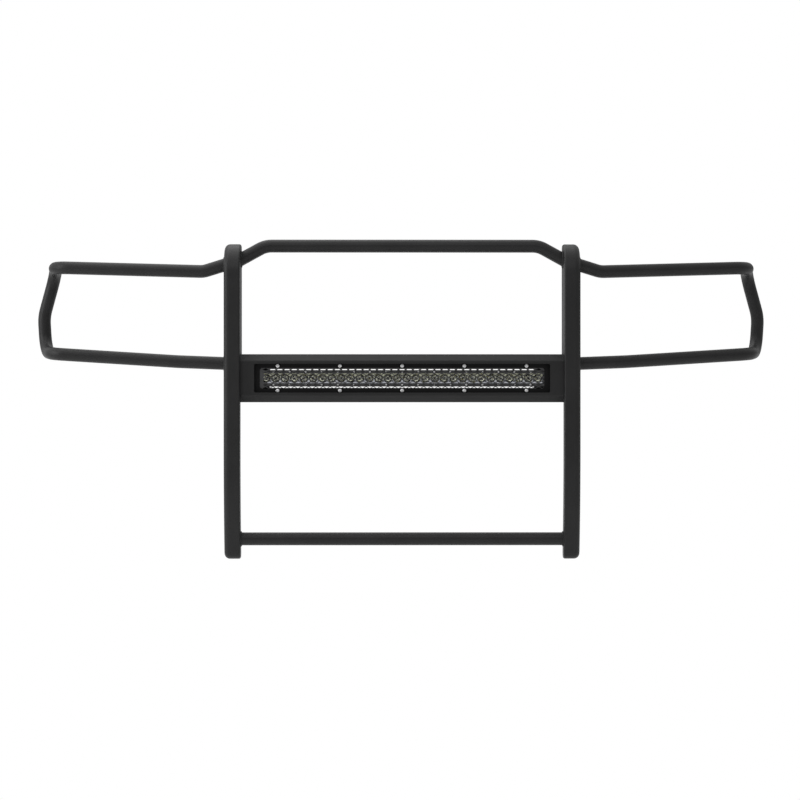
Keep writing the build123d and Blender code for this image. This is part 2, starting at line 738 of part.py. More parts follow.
def lens_gasket():
    start = BEZEL_THICKNESS + LENS_THICKNESS
    ring = bar_rectangle(LENS_POCKET - LENS_GAP, start, LENS_POCKET_END, BAR_HALF_LENGTH - 1)
    inside = (REFLECTOR_HEIGHT / 2, start - CUT, LENS_POCKET_END + CUT, LAMP_ROW_HALF_LENGTH)
    return ring - bar_rectangle(*inside)


def led_places():
    """Centres of the lamps along the bar."""
    for index in range(LED_COUNT):
        yield (index - (LED_COUNT - 1) / 2) * LED_PITCH


def cup():
    """One lamp's hollow: a curved flare from the throat to the mouth, about the Y axis."""
    mouth_radius = LED_PITCH / 2 - CUP_RIM
    mouth = (mouth_radius, bar_depth(LENS_POCKET_END))
    throat = (CUP_THROAT, bar_depth(BOARD_DEPTH))
    middle = ((mouth[0] + throat[0]) / 2 + CUP_BULGE, (mouth[1] + throat[1]) / 2 + CUP_BULGE)
    edges = [
        ThreePointArc(mouth, middle, throat),
        Line(throat, (0, throat[1])),
        Line((0, throat[1]), (0, mouth[1])),
        Line((0, mouth[1]), mouth),
    ]
    return revolve(make_face(edges), axis=Axis.Y)


def reflector_strip():
    """One moulding with a flared cup for each lamp."""
    depth = (LENS_POCKET_END, BOARD_DEPTH)
    strip = bar_rectangle(REFLECTOR_HEIGHT / 2, *depth, LAMP_ROW_HALF_LENGTH)
    lamp_cup = cup()
    return strip - [Pos(x, 0, PANEL_Z) * lamp_cup for x in led_places()]


def circuit_board():
    return bar_rectangle(REFLECTOR_HEIGHT / 2, BOARD_DEPTH, CAVITY_END, LAMP_ROW_HALF_LENGTH)


def led_emitters():
    """Square emitters on the board, one in the throat of each cup."""
    half = EMITTER_SIZE / 2
    depth = (bar_depth(BOARD_DEPTH - EMITTER_HEIGHT), bar_depth(BOARD_DEPTH))
    height = (PANEL_Z - half, PANEL_Z + half)
    return group(block((x - half, x + half), depth, height) for x in led_places())


def cap_outline():
    """Side view of an end cap."""
    half = BAR_HEIGHT / 2
    points = (
        (bar_depth(0), PANEL_Z - half),
        (bar_depth(SHOULDER_DEPTH), PANEL_Z - half),
        (bar_depth(CAP_SLOPE_END), PANEL_Z - BACK_HALF_HEIGHT),
        (bar_depth(BAR_DEPTH), PANEL_Z - BACK_HALF_HEIGHT),
        (bar_depth(BAR_DEPTH), PANEL_Z + BACK_HALF_HEIGHT),
        (bar_depth(CAP_SLOPE_END), PANEL_Z + BACK_HALF_HEIGHT),
        (bar_depth(SHOULDER_DEPTH), PANEL_Z + half),
        (bar_depth(0), PANEL_Z + half),
    )
    outline = make_face(Polyline(*points, close=True))
    return fillet(outline.vertices(), CAP_CORNER_RADIUS)


def right_end_cap():
    start = BAR_HALF_LENGTH + CAP_GASKET
    cap = Pos(start, 0, 0) * extrude(Plane.YZ * cap_outline(), amount=CAP_THICKNESS)
    beyond = CAP_OUTER_FACE + CUT
    cap -= rod_x(PIVOT_RADIUS + THREAD_GAP, beyond - PIVOT_SINK - 2 * CUT, beyond, PIVOT_Y, PANEL_Z)
    for y, z in cap_screw_places():
        cap -= rod_x(CAP_SCREW_RADIUS + LENS_GAP, start - CUT, beyond, y, z)
        cap -= rod_x(CAP_SCREW_HEAD_RADIUS + LENS_GAP, CAP_OUTER_FACE - CAP_SCREW_SINK, beyond, y, z)
    return cap


def right_cap_gasket():
    outline = offset(cap_outline(), amount=-GASKET_INSET)
    gasket = extrude(Plane.YZ * outline, amount=CAP_GASKET)
    gasket = Pos(BAR_HALF_LENGTH, 0, 0) * gasket
    for y, z in cap_screw_places():
        gasket -= rod_x(CAP_SCREW_RADIUS + LENS_GAP, BAR_HALF_LENGTH - CUT, CAP_OUTER_FACE, y, z)
    return gasket


def end_cap_screws():
    """Pan-head screws sunk in the end caps."""
    seat = CAP_OUTER_FACE - CAP_SCREW_SINK
    top = seat + CAP_SCREW_HEAD
    screws = []
    for side in SIDES:
        for y, z in cap_screw_places():
            screw = rod_x(CAP_SCREW_HEAD_RADIUS, side * seat, side * top, y, z)
            tip = side * (BAR_HALF_LENGTH - CAP_SCREW_REACH)
            screw += rod_x(CAP_SCREW_RADIUS, tip, side * seat, y, z)
            screw -= hexagon_x(CAP_SCREW_SOCKET, side * (seat + top) / 2, side * top, y, z)
            screws.append(screw)
    return group(screws)


def pivot_bolts():
    """Shoulder bolts on which the light bar tilts for aiming."""
    seat = BAR_BRACKET_OUTER + PIVOT_WASHER
    top = seat + PIVOT_HEAD
    bolts = []
    for side in SIDES:
        tip = side * (CAP_OUTER_FACE - PIVOT_SINK)
        bolt = rod_x(PIVOT_RADIUS, tip, side * seat, PIVOT_Y, PANEL_Z)
        bolt += rod_x(PIVOT_HEAD_RADIUS, side * seat, side * top, PIVOT_Y, PANEL_Z)
        bolt -= hexagon_x(M8_SOCKET, side * (seat + top) / 2, side * top, PIVOT_Y, PANEL_Z)
        bolts.append(bolt)
    return group(bolts)


def pivot_washers():
    """Thin nylon washers each side of the bracket walls."""
    inner = (CAP_OUTER_FACE, BAR_BRACKET_X - WASHER_GAP)
    outer = (BAR_BRACKET_OUTER + WASHER_GAP, BAR_BRACKET_OUTER + PIVOT_WASHER)
    washers = []
    for side in SIDES:
        for start, end in (inner, outer):
            washer = rod_x(PIVOT_WASHER_RADIUS, side * start, side * end, PIVOT_Y, PANEL_Z)
            washer -= rod_x(PIVOT_RADIUS + THREAD_GAP, side * start, side * end, PIVOT_Y, PANEL_Z)
            washers.append(washer)
    return group(washers)


def cable_gland():
    """Gland in the back of the light bar, with an empty cable entry."""
    start = bar_depth(BACK_START)
    end = start + GLAND_LENGTH
    nut = (start + GLAND_NUT_START, start + GLAND_NUT_END)
    gland = hexagon_y(GLAND_FLATS, start, start + GLAND_BASE, GLAND_X, PANEL_Z)
    gland += rod_y(GLAND_NECK_RADIUS, start, end, GLAND_X, PANEL_Z)
    gland += rod_y(GLAND_FLATS / 2, *nut, GLAND_X, PANEL_Z)
    gland += rod_y(GLAND_THREAD, start - GLAND_SPIGOT, start, GLAND_X, PANEL_Z)
    return gland - rod_y(LEAD_RADIUS, start - GLAND_SPIGOT - CUT, end + CUT, GLAND_X, PANEL_Z)


def vent_plug():
    """Breather plug in the back of the light bar."""
    start = bar_depth(BACK_START)
    plug = rod_y(VENT_RADIUS, start, start + VENT_HEIGHT, VENT_X, PANEL_Z)
    plug = fillet(plug.edges().sort_by(Axis.Y)[-1], 0.3 * VENT_HEIGHT)
    return plug + rod_y(GLAND_THREAD, start - GLAND_SPIGOT, start, VENT_X, PANEL_Z)


# ------------------------------------------------------------ truck brackets


def yz_plate(points, x_from):
    """Flat bracket plate standing along the truck, with rounded corners."""
    outline = make_face(Polyline(*points, close=True))
    outline = fillet(outline.vertices(), BRACKET_CORNER_RADIUS)
    return Pos(x_from, 0, 0) * extrude(Plane.YZ * outline, amount=BRACKET_THICKNESS)


def frame_hole_x(x_from, y, z):
    return rod_x(FRAME_HOLE_RADIUS, x_from - CUT, x_from + BRACKET_THICKNESS + CUT, y, z)


def right_bracket_tab():
    """Plate welded edge-on to the back of the upright."""
    bottom = BRACKET_BOLT_Z[0] - TAB_REACH
    top = BRACKET_BOLT_Z[1] + TAB_REACH
    points = ((TAB_FRONT, bottom), (TAB_REAR, bottom), (TAB_REAR, top), (TAB_FRONT, top))
    tab = yz_plate(points, TAB_X)
    solid_upright = both_ways(Plane.YZ * upright_outline(), UPRIGHT_WIDTH / 2)
    tab -= Pos(UPRIGHT_X, 0, 0) * solid_upright
    for z in BRACKET_BOLT_Z:
        tab -= frame_hole_x(TAB_X, BRACKET_BOLT_Y, z)
    return tab


def right_frame_bracket():
    """Plate from the tab back to the truck's frame, with four frame holes."""
    y, z = FRAME_HOLE_CENTRE
    spacing_y, spacing_z = FRAME_HOLE_SPACING
    neck_bottom = BRACKET_BOLT_Z[0] - NECK_REACH
    neck_top = BRACKET_BOLT_Z[1] + NECK_REACH
    points = (
        (NECK_FRONT, neck_bottom),
        (NECK_REAR, neck_bottom),
        (PAD_FRONT, z - PAD_HALF_HEIGHT),
        (OVERALL_DEPTH, z - PAD_HALF_HEIGHT),
        (OVERALL_DEPTH, z + PAD_HALF_HEIGHT),
        (PAD_FRONT, z + PAD_HALF_HEIGHT),
        (NECK_REAR, neck_top),
        (NECK_FRONT, neck_top),
    )
    plate = yz_plate(points, BRACKET_X)
    for bolt_z in BRACKET_BOLT_Z:
        plate -= frame_hole_x(BRACKET_X, BRACKET_BOLT_Y, bolt_z)
    for side_y in SIDES:
        for side_z in SIDES:
            plate -= frame_hole_x(BRACKET_X, y + side_y * spacing_y / 2, z + side_z * spacing_z / 2)
    return plate


def right_bracket_bolts():
    """Hexagon bolts through bracket and tab, heads outboard."""
    nut_side, head_side = BRACKET_STACK
    tip = nut_side - M12_NUT - THREAD_STAND_OUT
    bolts = []
    for z in BRACKET_BOLT_Z:
        bolt = hexagon_x(M12_FLATS, head_side, head_side + M12_HEAD, BRACKET_BOLT_Y, z)
        bolt += rod_x(M12_RADIUS, head_side, tip, BRACKET_BOLT_Y, z)
        bolts.append(bolt.rotate(Axis((0, BRACKET_BOLT_Y, z), (1, 0, 0)), BOLT_TURN))
    return group(bolts)


def bracket_washers():
    washers = []
    for side in SIDES:
        for z in BRACKET_BOLT_Z:
            for start in (TAB_X - WASHER_THICKNESS, BRACKET_X + BRACKET_THICKNESS):
                ends = (side * start, side * (start + WASHER_THICKNESS))
                washer = rod_x(WASHER_RADIUS, *ends, BRACKET_BOLT_Y, z)
                washers.append(washer - rod_x(M12_RADIUS + M6_CLEARANCE, *ends, BRACKET_BOLT_Y, z))
    return group(washers)


def bracket_nuts():
    nut_side = BRACKET_STACK[0]
    nuts = []
    for side in SIDES:
        ends = (side * (nut_side - M12_NUT), side * nut_side)
        for z in BRACKET_BOLT_Z:
            nut = hexagon_x(M12_FLATS, *ends, BRACKET_BOLT_Y, z)
            nuts.append(nut - rod_x(M12_RADIUS + THREAD_GAP, *ends, BRACKET_BOLT_Y, z))
    return group(nuts)


def main():
    os.makedirs("parts", exist_ok=True)
    export_pair("upright", right_upright())
    export("top_bar", top_bar())
    export("bottom_bar", bottom_bar())
    export_pair("wing_tube", right_wing_tube())
    export("crossbar_housing", crossbar_housing())
    export("crossbar_back_plate", crossbar_back_plate())
    export_pair("end_plate", right_end_plate())
    export("end_plate_bolts", end_plate_bolts())
    export("upright_weld_nuts", upright_weld_nuts())
    export("screen_plate", screen_plate())
    export("expanded_mesh", expanded_mesh())
    export("screen_bolts", screen_bolts())
    export("screen_nuts", screen_nuts())
    export_pair("light_bar_bracket", right_light_bar_bracket())
    export("light_bar_bracket_bolts", light_bar_bracket_bolts())
    export("light_bar_housing", light_bar_housing())
    export("bezel", bezel())
    export("bezel_screws", bezel_screws())
    export("lens", lens())
    export("lens_gasket", lens_gasket())
    export("reflector_strip", reflector_strip())
    export("circuit_board", circuit_board())
    export("led_emitters", led_emitters())
    export_pair("light_bar_end_cap", right_end_cap())
    export_pair("end_cap_gasket", right_cap_gasket())
    export("end_cap_screws", end_cap_screws())
    export("pivot_bolts", pivot_bolts())
    export("pivot_washers", pivot_washers())
    export("cable_gland", cable_gland())
    export("vent_plug", vent_plug())
    export_pair("bracket_tab", right_bracket_tab())
    export_pair("frame_bracket", right_frame_bracket())
    export_pair("bracket_bolts", right_bracket_bolts())
    export("bracket_washers", bracket_washers())
    export("bracket_nuts", bracket_nuts())


main()
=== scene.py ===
"""Looks of the front grille guard: finishes, weld beads, lamp details, studio and camera."""

import json
from math import atan2, cos, pi, radians, sin, tau

import bpy
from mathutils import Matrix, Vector


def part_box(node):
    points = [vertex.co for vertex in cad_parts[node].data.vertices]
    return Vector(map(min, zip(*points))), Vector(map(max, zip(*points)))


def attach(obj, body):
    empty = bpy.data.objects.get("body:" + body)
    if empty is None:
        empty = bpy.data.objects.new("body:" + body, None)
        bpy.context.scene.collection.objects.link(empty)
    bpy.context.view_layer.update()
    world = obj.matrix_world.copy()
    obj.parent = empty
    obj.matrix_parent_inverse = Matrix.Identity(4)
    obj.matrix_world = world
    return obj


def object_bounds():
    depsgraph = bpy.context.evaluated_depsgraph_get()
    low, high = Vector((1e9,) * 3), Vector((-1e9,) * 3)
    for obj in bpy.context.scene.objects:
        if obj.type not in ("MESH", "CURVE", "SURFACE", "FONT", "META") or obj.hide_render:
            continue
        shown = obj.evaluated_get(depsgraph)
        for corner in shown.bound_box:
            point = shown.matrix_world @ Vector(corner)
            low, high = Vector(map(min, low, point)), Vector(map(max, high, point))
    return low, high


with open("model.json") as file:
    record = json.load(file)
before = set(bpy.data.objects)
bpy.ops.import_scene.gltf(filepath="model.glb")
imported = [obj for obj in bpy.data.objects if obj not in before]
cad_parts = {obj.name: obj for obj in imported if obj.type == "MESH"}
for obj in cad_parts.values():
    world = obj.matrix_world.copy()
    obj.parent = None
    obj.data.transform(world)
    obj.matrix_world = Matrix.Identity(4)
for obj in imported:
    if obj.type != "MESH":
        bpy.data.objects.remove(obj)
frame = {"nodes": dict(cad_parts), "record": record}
CAD_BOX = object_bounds()

MM = 0.001

# Camera: straight at the guard's front, at half its height
CAMERA_DISTANCE = 6.5
CAMERA_HEIGHT = 0.427
CAMERA_SIDE = -0.06
AIM_SIDE = -0.006
FIELD_WIDTH = 2.1344
SENSOR_WIDTH = 36.0

# The guard hangs above the ground, as it does on a truck
GROUND_CLEARANCE = 0.45
FLOOR_HALF_SIZE = 60.0

# Sky light that the camera doesn't see, as (axis, start, end, amount) on top of an even base
SKY_BASE = 0.4
SKY_RAMPS = (
    ("Z", 0.05, 0.9, 0.9),
    ("X", -0.3, -0.95, 0.75),
    ("X", 0.3, 0.95, 0.2),
    ("Y", 0.2, 0.9, 0.12),
)

# Soft lights, as (name, place, size, power)
SOFTBOXES = (
    ("top_softbox", (-0.8, 0.3, 3.4), (4.0, 2.5), 55.0),
    ("left_softbox", (-3.4, -1.0, 1.4), (1.6, 2.4), 42.0),
    ("front_softbox", (-0.6, -4.2, 3.4), (3.2, 0.9), 34.0),
)

# Weld beads
BEAD_RADIUS = 2.5 * MM
BEAD_RIPPLE_PITCH = 3.0 * MM
BEAD_RIPPLE = 0.14
STATIONS_PER_RIPPLE = 6
BEAD_SECTION = 12
RING_LIFT = 0.25 * BEAD_RADIUS
TAB_LIFT = 0.3 * BEAD_RADIUS

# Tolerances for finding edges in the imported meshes
IN_PLANE = 0.02 * MM
REPEATED = 0.1 * MM
HALF_WALL = 1.2 * MM
LARGEST_TUBE = 60 * MM
TAB_ROUNDING = 9 * MM
TAB_FRONT_SHARE = 0.4

# Lamps
DOME_RADIUS = 2.1 * MM
DOME_HEIGHT = 0.8 * DOME_RADIUS
DOME_RINGS = 6
DOME_SEGMENTS = 20
# Reflector tints by height: a painted highlight below and a painted reflection of the yellow chips above
REFLECTOR_PAINTED_HIGHLIGHT_BELOW = (0.9, 0.9, 0.95)
REFLECTOR_PAINTED_CHIP_REFLECTION = (0.78, 0.77, 0.58)

SIDES = {"right": 1, "left": -1}


# ------------------------------------------------------------ material tools


def shader_material(name):
    """A new node material, its tree and its main shader."""
    material = bpy.data.materials.new(name)
    material.use_nodes = True
    tree = material.node_tree
    return material, tree, tree.nodes["Principled BSDF"]


def add(tree, kind, **settings):
    """Add a node. Settings name its attributes, or its inputs where a name has no attribute."""
    node = tree.nodes.new(kind)
    for name, value in settings.items():
        if hasattr(node, name):
            setattr(node, name, value)
        else:
            node.inputs[name.replace("_", " ")].default_value = value
    return node


def object_place(tree, scale=(1, 1, 1)):
    """Position on the piece in metres, stretched by a scale along each axis."""
    place = add(tree, "ShaderNodeTexCoord")
    mapping = add(tree, "ShaderNodeMapping", Scale=scale)
    tree.links.new(place.outputs["Object"], mapping.inputs["Vector"])
    return mapping.outputs["Vector"]


def noise(tree, place, scale, detail=2.0, roughness=0.5):
    node = add(tree, "ShaderNodeTexNoise", Scale=scale, Detail=detail, Roughness=roughness)
    tree.links.new(place, node.inputs["Vector"])
    return node.outputs["Fac"]


def spread(tree, value, low, high):
    """Map noise, which stays near its middle, to a range."""
    node = add(tree, "ShaderNodeMapRange", From_Min=0.3, From_Max=0.7, To_Min=low, To_Max=high)
    tree.links.new(value, node.inputs["Value"])
    return node.outputs["Result"]


def two_tones(tree, value, dark, light):
    """Blend two colours by a noise value."""
    ramp = add(tree, "ShaderNodeValToRGB")
    ramp.color_ramp.elements[0].position = 0.3
    ramp.color_ramp.elements[0].color = (*dark, 1)
    ramp.color_ramp.elements[1].position = 0.7
    ramp.color_ramp.elements[1].color = (*light, 1)
    tree.links.new(value, ramp.inputs["Fac"])
    return ramp.outputs["Color"]


def bump(tree, value, distance, strength=1.0, over=None):
    """Surface relief from a height value, on top of another relief if there is one."""
    node = add(tree, "ShaderNodeBump", Strength=strength, Distance=distance)
    tree.links.new(value, node.inputs["Height"])
    if over is not None:
        tree.links.new(over, node.inputs["Normal"])
    return node.outputs["Normal"]


def soft_edges(tree, radius):
    """Rounds sharp sheet and bar edges in the shading, as paint and tumbling do."""
    node = add(tree, "ShaderNodeBevel", samples=4, Radius=radius)
    return node.outputs["Normal"]


# ----------------------------------------------------------------- materials


def powder_coat(name, tone, roughness, level, edge=0.8 * MM):
    """Satin black powder coat: fine orange peel, faint cloudiness and rounded edges."""
    material, tree, shader = shader_material(name)
    place = object_place(tree)
    clouds = noise(tree, place, 14.0, 3.0)
    speckle = noise(tree, place, 1500.0, 2.0)
    dark = [0.85 * value for value in tone]
    light = [1.2 * value for value in tone]
    tree.links.new(two_tones(tree, clouds, dark, light), shader.inputs["Base Color"])
    gloss = spread(tree, speckle, roughness - 0.05, roughness + 0.05)
    tree.links.new(gloss, shader.inputs["Roughness"])
    shader.inputs["Specular IOR Level"].default_value = level
    peel = noise(tree, place, 650.0, 2.0)
    relief = bump(tree, peel, 0.05 * MM, 0.6, over=soft_edges(tree, edge))
    relief = bump(tree, speckle, 0.02 * MM, 0.5, over=relief)
    tree.links.new(relief, shader.inputs["Normal"])
    return material


def plated_steel(name, dark, light, roughness):
    """Plated or stainless steel with fine turning marks and faint stains."""
    material, tree, shader = shader_material(name)
    place = object_place(tree)
    stains = noise(tree, place, 220.0, 4.0)
    grain = noise(tree, object_place(tree, (1.0, 9.0, 1.0)), 900.0, 3.0)
    tree.links.new(two_tones(tree, stains, dark, light), shader.inputs["Base Color"])
    shader.inputs["Metallic"].default_value = 1.0
    tree.links.new(spread(tree, grain, roughness - 0.06, roughness + 0.08), shader.inputs["Roughness"])
    relief = bump(tree, grain, 0.02 * MM, 0.5, over=soft_edges(tree, 0.3 * MM))
    tree.links.new(relief, shader.inputs["Normal"])
    return material


def anodised_extrusion(name):
    """Black anodised aluminium with drawing lines along the extrusion."""
    material, tree, shader = shader_material(name)
    lines = noise(tree, object_place(tree, (0.02, 1.0, 1.0)), 2400.0, 3.0)
    clouds = noise(tree, object_place(tree), 30.0, 3.0)
    colour = two_tones(tree, clouds, (0.016, 0.016, 0.018), (0.028, 0.028, 0.031))
    tree.links.new(colour, shader.inputs["Base Color"])
    shader.inputs["Metallic"].default_value = 0.4
    tree.links.new(spread(tree, lines, 0.34, 0.5), shader.inputs["Roughness"])
    relief = bump(tree, lines, 0.02 * MM, 0.6, over=soft_edges(tree, 0.4 * MM))
    tree.links.new(relief, shader.inputs["Normal"])
    return material


def clear_lens(name):
    """Clear polycarbonate with the faintest moulding waviness."""
    material, tree, shader = shader_material(name)
    waves = noise(tree, object_place(tree, (1.0, 1.0, 3.0)), 40.0, 1.0)
    colour = two_tones(tree, waves, (0.95, 0.97, 0.98), (0.98, 0.99, 1.0))
    tree.links.new(colour, shader.inputs["Base Color"])
    shader.inputs["Transmission Weight"].default_value = 1.0
    shader.inputs["Roughness"].default_value = 0.0
    shader.inputs["IOR"].default_value = 1.2
    tree.links.new(bump(tree, waves, 0.03 * MM, 0.3), shader.inputs["Normal"])
    return material


def reflector_chrome(name):
    """Vacuum-metallised moulding with painted reflections: a lighter cool tint below as a painted highlight
    of the light from above, a warm tint above as a painted reflection of the yellow chips, a little uneven.
    """
    material, tree, shader = shader_material(name)
    place = object_place(tree)
    low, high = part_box("reflector_strip")
    # Painted highlight and reflection: the colour runs with height, lighter and cool below, warm yellow
    # above
    split = add(tree, "ShaderNodeSeparateXYZ")
    tree.links.new(place, split.inputs[0])
    height = add(tree, "ShaderNodeMapRange", From_Min=low.z, From_Max=high.z, To_Min=0.1, To_Max=0.9)
    tree.links.new(split.outputs["Z"], height.inputs["Value"])
    colour = two_tones(tree, height.outputs["Result"], REFLECTOR_PAINTED_HIGHLIGHT_BELOW, REFLECTOR_PAINTED_CHIP_REFLECTION)
    tree.links.new(colour, shader.inputs["Base Color"])
    shader.inputs["Metallic"].default_value = 1.0
    ripple = noise(tree, place, 420.0, 2.0)
    tree.links.new(spread(tree, ripple, 0.06, 0.14), shader.inputs["Roughness"])
    tree.links.new(bump(tree, ripple, 0.03 * MM, 0.4), shader.inputs["Normal"])
    return material


def speckled_plastic(name, dark, light, roughness, grain, depth):
    """Moulded plastic or rubber: two close tones and a fine grain."""
    material, tree, shader = shader_material(name)
    place = object_place(tree)
    fine = noise(tree, place, grain, 3.0)
    tree.links.new(two_tones(tree, noise(tree, place, 60.0, 2.0), dark, light), shader.inputs["Base Color"])
    tree.links.new(spread(tree, fine, roughness - 0.06, roughness + 0.06), shader.inputs["Roughness"])
    relief = bump(tree, fine, depth, 0.6, over=soft_edges(tree, 0.3 * MM))
    tree.links.new(relief, shader.inputs["Normal"])
    return material


def silicone_dome(name):
    """Clear silicone over the lamp's chip."""
    material, tree, shader = shader_material(name)
    haze = noise(tree, object_place(tree), 300.0, 2.0)
    colour = two_tones(tree, haze, (0.9, 0.88, 0.74), (0.98, 0.97, 0.9))
    tree.links.new(colour, shader.inputs["Base Color"])
    shader.inputs["Transmission Weight"].default_value = 1.0
    shader.inputs["IOR"].default_value = 1.41
    tree.links.new(spread(tree, haze, 0.02, 0.08), shader.inputs["Roughness"])
    return material


def make_materials():
    """One material for each of the record's slots."""
    return {
        "black_powder_coat": powder_coat("black_powder_coat_look", (0.0085, 0.0085, 0.0087), 0.46, 0.22),
        # Recessed plate: darker and less glossy than the face coat, painted shade on top of the shade its
        # recess casts
        "recess_black": powder_coat("recess_painted_shade_look", (0.004, 0.004, 0.0042), 0.5, 0.12),
        "mesh_black": powder_coat("mesh_black_look", (0.03, 0.03, 0.031), 0.42, 0.5, 0.3 * MM),
        "bezel_black": powder_coat("bezel_black_look", (0.035, 0.035, 0.036), 0.45, 0.5, 0.4 * MM),
        "zinc_plated_steel": plated_steel("zinc_look", (0.42, 0.43, 0.42), (0.6, 0.61, 0.62), 0.36),
        "stainless_steel": plated_steel("stainless_look", (0.62, 0.62, 0.62), (0.78, 0.78, 0.79), 0.3),
        "black_anodised_aluminium": anodised_extrusion("anodised_look"),
        "clear_lens": clear_lens("clear_lens_look"),
        "reflector_chrome": reflector_chrome("reflector_painted_reflections_look"),
        "board_white": speckled_plastic(
            "board_look", (0.6, 0.6, 0.57), (0.74, 0.74, 0.71), 0.35, 1600.0, 0.02 * MM
        ),
        "led_yellow": speckled_plastic(
            "led_look", (0.1, 0.085, 0.015), (0.2, 0.16, 0.03), 0.4, 2200.0, 0.02 * MM
        ),
        "black_rubber": speckled_plastic(
            "rubber_look", (0.012, 0.012, 0.012), (0.022, 0.022, 0.022), 0.75, 1200.0, 0.06 * MM
        ),
        "black_nylon": speckled_plastic(
            "nylon_look", (0.016, 0.016, 0.017), (0.03, 0.03, 0.031), 0.5, 1500.0, 0.04 * MM
        ),
    }


def paint_nodes(materials):
    """Give each CAD node the material of its slot in the record."""
    for row in frame["record"]["subparts"]:
        node = frame["nodes"][row["node"]]
        node.data.materials.clear()
        node.data.materials.append(materials[row["material_slot"]])


# ---------------------------------------------------------------- mesh tools


def mesh_piece(name, vertices, faces, material, body):
    """Build a smooth mesh piece that rides on a body."""
    mesh = bpy.data.meshes.new(name)
    mesh.from_pydata([tuple(v) for v in vertices], [], faces)
    mesh.validate()
    mesh.shade_smooth()
    piece = bpy.data.objects.new(name, mesh)
    bpy.context.scene.collection.objects.link(piece)
    piece.data.materials.append(material)
    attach(piece, body)
    return piece


def bead_radius(distance):
    """Radius of a bead along its run: a row of overlapping round puddles."""
    phase = distance / BEAD_RIPPLE_PITCH
    puddle = abs(sin(pi * phase))
    uneven = 0.05 * sin(1.7 * phase) + 0.03 * sin(0.6 * phase + 1.0)
    return BEAD_RADIUS * (1.0 - BEAD_RIPPLE + 2 * BEAD_RIPPLE * puddle + uneven)


def resample(path, step, closed):
    """Even points along a polyline."""
    points = list(path) + ([path[0]] if closed else [])
    runs = [(b - a).length for a, b in zip(points, points[1:])]
    length = sum(runs)
    count = max(2, round(length / step))
    places = []
    index = 0
    behind = 0.0
    for number in range(count if closed else count + 1):
        target = length * number / count
        while index < len(runs) - 1 and behind + runs[index] < target:
            behind += runs[index]
            index += 1
        share = (target - behind) / runs[index]
        places.append(points[index].lerp(points[index + 1], share))
    return places, length / count


def bead_mesh(path, closed):
    """Vertices and faces of a weld bead along a path."""
    stations, step = resample(path, BEAD_RIPPLE_PITCH / STATIONS_PER_RIPPLE, closed)
    count = len(stations)
    vertices = []
    for index, centre in enumerate(stations):
        ahead = stations[(index + 1) % count] if closed else stations[min(index + 1, count - 1)]
        behind = stations[index - 1] if closed or index else stations[0]
        along = (ahead - behind).normalized()
        side = along.cross(Vector((1, 0, 0))).normalized()
        across = along.cross(side)
        taper = 1.0
        if not closed:
            ends = min(index, count - 1 - index) / STATIONS_PER_RIPPLE
            taper = min(1.0, 0.35 + 0.65 * ends)
        radius = bead_radius(index * step) * taper
        for corner in range(BEAD_SECTION):
            angle = tau * corner / BEAD_SECTION
            vertices.append(centre + radius * (cos(angle) * side + sin(angle) * across))
    faces = []
    for index in range(count if closed else count - 1):
        here = index * BEAD_SECTION
        there = (index + 1) % count * BEAD_SECTION
        for corner in range(BEAD_SECTION):
            turn = (corner + 1) % BEAD_SECTION
            faces.append((here + corner, here + turn, there + turn, there + corner))
    if not closed:
        last = (count - 1) * BEAD_SECTION
        faces.append(tuple(reversed(range(BEAD_SECTION))))
        faces.append(tuple(range(last, last + BEAD_SECTION)))
    return vertices, faces


# --------------------------------------------------------------- weld beads


def points_in_plane(node, plane_x):
    """A node's mesh points that lie in a plane across X."""
    vertices = frame["nodes"][node].data.vertices
    return [v.co.copy() for v in vertices if abs(v.co.x - plane_x) < IN_PLANE]


def tube_rims(node, plane_x):
    """Outer rims of a tube's ends in a plane across X, as rings of points."""
    ends = points_in_plane(node, plane_x)
    low = min(p.z for p in ends)
    high = max(p.z for p in ends)
    if high - low < LARGEST_TUBE:
        groups = [ends]
    else:
        middle = (low + high) / 2
        groups = [[p for p in ends if p.z > middle], [p for p in ends if p.z < middle]]
    return [outer_rim(points) for points in groups]


def outer_rim(points):
    """Sort a tube end's points round its middle and drop those of the bore."""
    middle_y = (min(p.y for p in points) + max(p.y for p in points)) / 2
    middle_z = (min(p.z for p in points) + max(p.z for p in points)) / 2
    centre = Vector((points[0].x, middle_y, middle_z))
    rows = sorted((atan2(p.z - middle_z, p.y - middle_y), (p - centre).length) for p in points)
    nearby = radians(14)
    rim = []
    for angle, radius in rows:
        around = [r for a, r in rows if abs((a - angle + pi) % tau - pi) < nearby]
        place = centre + radius * Vector((0, cos(angle), sin(angle)))
        repeated = rim and (place - rim[-1]).length < REPEATED
        if radius > max(around) - HALF_WALL and not repeated:
            rim.append(place)
    return rim


def tube_weld(name, rim, away, material):
    """Bead all round a tube where it meets the face of an upright."""
    centre = sum(rim, Vector()) / len(rim)
    off_face = Vector((away * RING_LIFT, 0, 0))
    path = [p + RING_LIFT * (p - centre).normalized() + off_face for p in rim]
    vertices, faces = bead_mesh(path, closed=True)
    mesh_piece(name, vertices, faces, material, "guard")


def tube_welds(material):
    for side, sign in SIDES.items():
        low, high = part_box(f"{side}_upright")
        inner = low.x if sign > 0 else high.x
        outer = high.x if sign > 0 else low.x
        tube_weld(f"{side}_top_bar_weld", tube_rims("top_bar", inner)[0], -sign, material)
        tube_weld(f"{side}_bottom_bar_weld", tube_rims("bottom_bar", inner)[0], -sign, material)
        wing_rims = tube_rims(f"{side}_wing_tube", outer)
        for place, rim in zip(("upper", "lower"), wing_rims):
            tube_weld(f"{side}_wing_{place}_weld", rim, sign, material)


